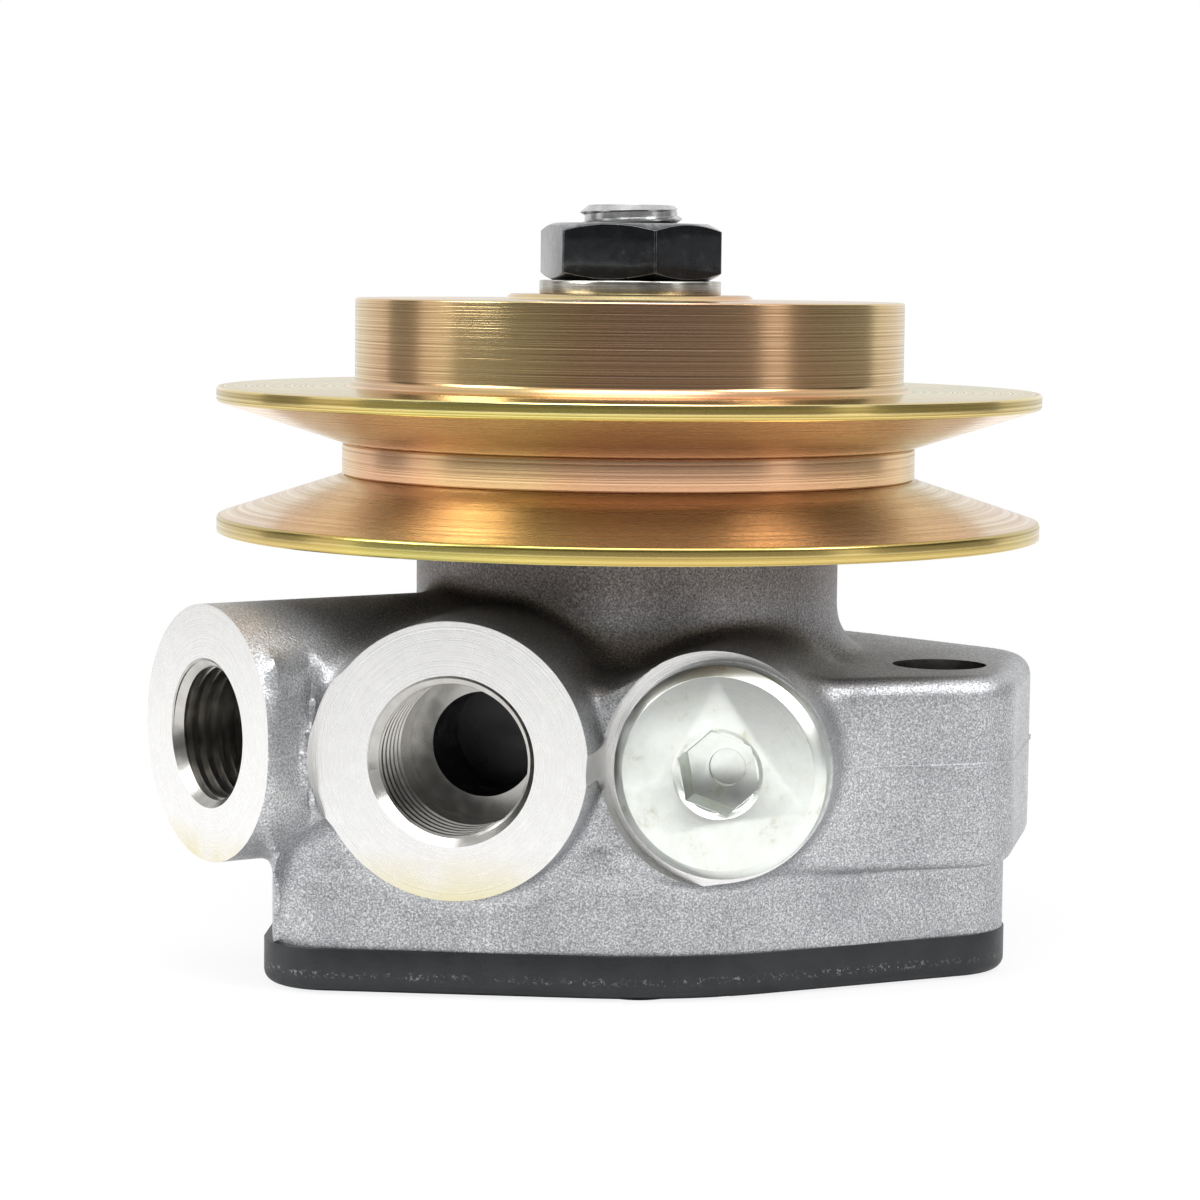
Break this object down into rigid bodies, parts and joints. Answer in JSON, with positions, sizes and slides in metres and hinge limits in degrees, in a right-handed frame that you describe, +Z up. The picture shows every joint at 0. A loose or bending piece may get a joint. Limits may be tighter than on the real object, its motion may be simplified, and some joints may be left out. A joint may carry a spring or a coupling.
{
  "type": "belt-driven fuel lift pump",
  "caption": "Belt-driven diesel fuel lift pump: V-belt pulley over a cast housing with two threaded ports, a relief-valve plug and a bolted bottom cover.",
  "frame": {"origin": "on the shaft axis, in the underside of the bottom cover", "axes": "+Z up along the shaft towards the pulley, -Y the side that the threaded ports face, +X to the right seen from that side"},
  "size_m": [0.0962, 0.0985, 0.0862],
  "materials": {
    "housing": "shot-blasted die casting with machined port faces",
    "cover_plate": "black oxide on blanked steel",
    "cover_screws": "black oxide",
    "cover_dowels": "ground",
    "cover_seal": "moulded nitrile",
    "shaft_bush": "bored bearing bronze",
    "shaft_seal": "moulded nitrile",
    "seal_garter_spring": "drawn wire",
    "bearing_outer_ring": "ground bearing steel",
    "bearing_inner_ring": "ground bearing steel",
    "bearing_balls": "lapped bearing steel",
    "bearing_cage": "machined brass",
    "bearing_circlip": "phosphated spring steel",
    "pump_shaft": "ground steel",
    "rotor_key": "drawn key steel",
    "pulley_key": "drawn key steel",
    "inner_rotor": "sintered steel",
    "outer_rotor": "sintered steel",
    "relief_plug": "zinc plated turned steel",
    "plug_sealing_ring": "soft aluminium",
    "relief_valve": "ground steel",
    "relief_spring": "drawn spring wire",
    "drive_pulley": "turned steel, yellow chromate over zinc",
    "pulley_spacer": "turned steel",
    "pulley_washer": "bright zinc",
    "pulley_nut": "black oxide"
  },
  "bodies": {
    "pump_body": {"housing": "housing", "cover_plate": "cover_plate", "cover_screws": "cover_screws", "cover_dowels": "cover_dowels", "cover_seal": "cover_seal", "shaft_bush": "shaft_bush", "shaft_seal": "shaft_seal", "seal_garter_spring": "seal_garter_spring", "bearing_outer_ring": "bearing_outer_ring", "bearing_circlip": "bearing_circlip", "relief_plug": "relief_plug", "plug_sealing_ring": "plug_sealing_ring", "relief_spring": "relief_spring"},
    "rotating_group": {"pump_shaft": "pump_shaft", "bearing_inner_ring": "bearing_inner_ring", "rotor_key": "rotor_key", "pulley_key": "pulley_key", "inner_rotor": "inner_rotor", "drive_pulley": "drive_pulley", "pulley_spacer": "pulley_spacer", "pulley_washer": "pulley_washer", "pulley_nut": "pulley_nut"},
    "outer_rotor_group": {"outer_rotor": "outer_rotor"},
    "cage_group": {"bearing_cage": "bearing_cage", "bearing_balls": "bearing_balls"},
    "valve_group": {"relief_valve": "relief_valve"}
  },
  "joints": [
    {"name": "shaft_spin", "type": "hinge", "parent": "pump_body", "child": "rotating_group", "pos_m": [0, 0, 0], "axis": [0, 0, 1], "continuous": true},
    {"name": "outer_rotor_spin", "type": "hinge", "parent": "pump_body", "child": "outer_rotor_group", "pos_m": [-0.00106, -0.00158, 0], "axis": [0, 0, 1], "continuous": true},
    {"name": "cage_spin", "type": "hinge", "parent": "pump_body", "child": "cage_group", "pos_m": [0, 0, 0], "axis": [0, 0, 1], "continuous": true},
    {"name": "relief_valve_slide", "type": "slide", "parent": "pump_body", "child": "valve_group", "axis": [0, -1, 0], "range_m": [0, 0.004], "stiffness_N_per_m": 4000, "springref_m": -0.003, "deforming": ["relief_spring"]}
  ],
  "couplings": [
    {"joint": "outer_rotor_spin", "follows": "shaft_spin", "ratio": 0.85714},
    {"joint": "cage_spin", "follows": "shaft_spin", "ratio": 0.38158}
  ]
}
